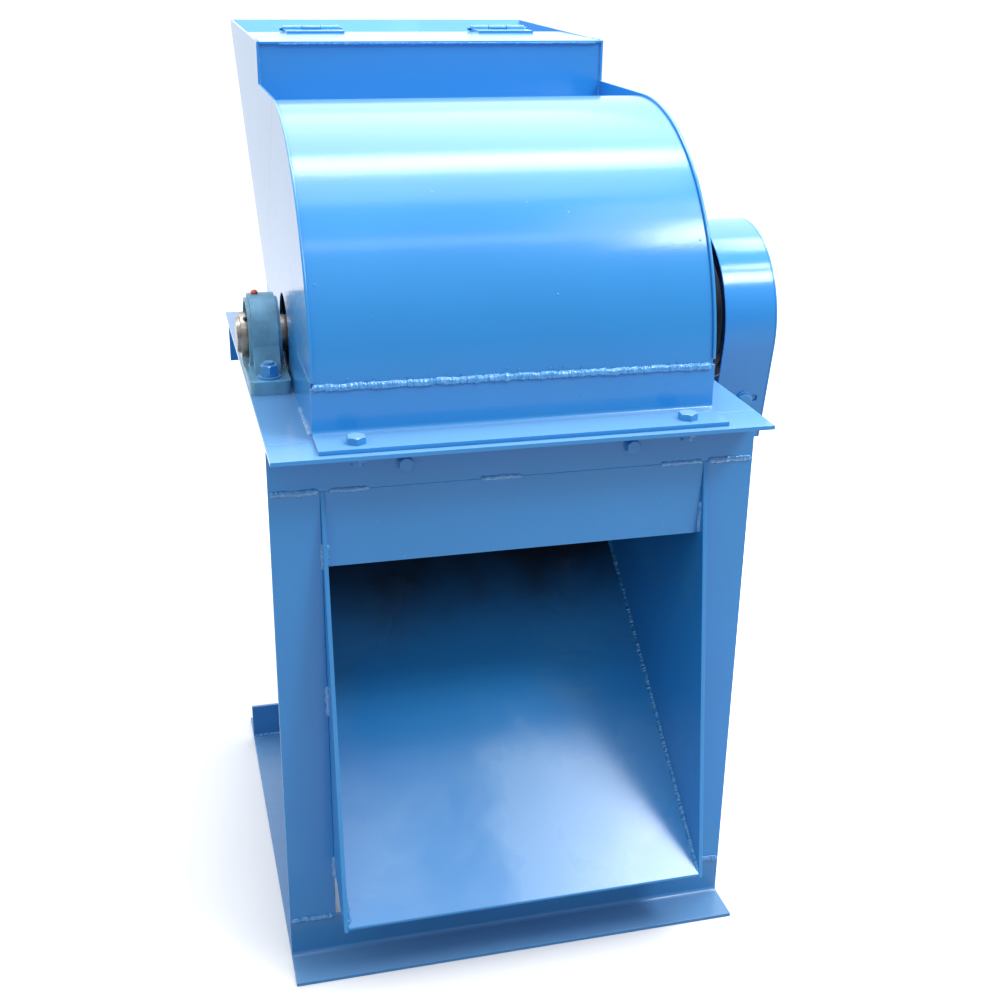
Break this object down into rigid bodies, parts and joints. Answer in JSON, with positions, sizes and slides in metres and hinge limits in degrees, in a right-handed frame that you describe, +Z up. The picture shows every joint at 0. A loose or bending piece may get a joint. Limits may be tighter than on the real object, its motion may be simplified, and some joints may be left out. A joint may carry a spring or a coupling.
{
  "type": "hammer mill",
  "caption": "Hammer mill on a welded angle-iron stand: round hood, rear feed hopper, swing-hammer rotor in pillow blocks, belt guard and slanted discharge chute.",
  "frame": {"origin": "on the floor, below the middle of the rotor shaft's axis, midway between the side rails", "axes": "+X to the right along the rotor shaft, towards the belt guard; +Y to the rear, towards the feed hopper; +Z up"},
  "size_m": [0.818, 1.189, 1.32],
  "materials": {
    "blue_paint": "glossy sprayed enamel with orange peel",
    "painted_fasteners": "glossy overpaint",
    "cast_housing": "rough casting under thin blue paint",
    "bare_steel": "turned and ground",
    "dark_steel": "mill scale, oiled",
    "black_screws": "black oxide",
    "red_caps": "soft plastic"
  },
  "bodies": {
    "stand": {"top_rail_front": "blue_paint", "top_rail_rear": "blue_paint", "top_rail_left": "blue_paint", "top_rail_right": "blue_paint", "bottom_rail_front": "blue_paint", "bottom_rail_rear": "blue_paint", "bottom_rail_left": "blue_paint", "bottom_rail_right": "blue_paint", "leg_front_left": "blue_paint", "leg_front_right": "blue_paint", "leg_rear_left": "blue_paint", "leg_rear_right": "blue_paint", "front_apron": "blue_paint", "chute_floor": "blue_paint", "chute_side_left": "blue_paint", "chute_side_right": "blue_paint", "casing_side_left": "blue_paint", "casing_side_right": "blue_paint", "casing_rear_plate": "blue_paint", "breaker_plate": "dark_steel", "breaker_bolts": "painted_fasteners", "screen": "dark_steel", "screen_rail_left": "blue_paint", "screen_rail_right": "blue_paint", "bearing_housing_left": "cast_housing", "bearing_housing_right": "cast_housing", "bearing_outer_rings": "bare_steel", "bearing_bolts": "painted_fasteners", "grease_nipples": "red_caps", "guard_band": "blue_paint", "guard_face": "blue_paint", "guard_brackets": "blue_paint", "guard_bolts": "painted_fasteners", "hood_nuts": "painted_fasteners", "hood_hinge_lugs": "blue_paint", "hood_hinge_pins": "bare_steel"},
    "rotor": {"rotor_shaft": "bare_steel", "bearing_inner_rings": "bare_steel", "collar_screws": "black_screws", "rotor_discs": "dark_steel", "disc_spacers": "dark_steel", "hammer_pins": "bare_steel", "hammer_spacers": "dark_steel", "pin_collars": "bare_steel", "drive_pulley": "dark_steel", "pulley_key": "bare_steel"},
    "hammers_1": {"hammer_row_1": "bare_steel"},
    "hammers_2": {"hammer_row_2": "bare_steel"},
    "hammers_3": {"hammer_row_3": "bare_steel"},
    "hammers_4": {"hammer_row_4": "bare_steel"},
    "hood": {"hood_shell": "blue_paint", "hood_side_left": "blue_paint", "hood_side_right": "blue_paint", "hood_front_angle": "blue_paint", "hopper_front_wall": "blue_paint", "hopper_rear_wall": "blue_paint", "hopper_top_plate": "blue_paint", "hood_bolts": "painted_fasteners", "flap_hinges": "blue_paint"},
    "flap": {"feed_flap": "blue_paint"}
  },
  "joints": [
    {"name": "rotor_spin", "type": "hinge", "parent": "stand", "child": "rotor", "pos_m": [0, 0, 0.9035], "axis": [1, 0, 0], "continuous": true},
    {"name": "hammer_swing_1", "type": "hinge", "parent": "rotor", "child": "hammers_1", "pos_m": [0, 0.09899, 1.00249], "axis": [1, 0, 0], "range_deg": [-10, 280]},
    {"name": "hammer_swing_2", "type": "hinge", "parent": "rotor", "child": "hammers_2", "pos_m": [0, -0.09899, 1.00249], "axis": [1, 0, 0], "range_deg": [-280, 10]},
    {"name": "hammer_swing_3", "type": "hinge", "parent": "rotor", "child": "hammers_3", "pos_m": [0, -0.09899, 0.80451], "axis": [1, 0, 0], "range_deg": [-190, 100]},
    {"name": "hammer_swing_4", "type": "hinge", "parent": "rotor", "child": "hammers_4", "pos_m": [0, 0.09899, 0.80451], "axis": [1, 0, 0], "range_deg": [-100, 190]},
    {"name": "hood_open", "type": "hinge", "parent": "stand", "child": "hood", "pos_m": [0, 0.284, 0.914], "axis": [-1, 0, 0], "range_deg": [0, 65]},
    {"name": "flap_swing", "type": "hinge", "parent": "hood", "child": "flap", "pos_m": [0, 0.488, 1.314], "axis": [1, 0, 0], "range_deg": [-60, 80]}
  ]
}
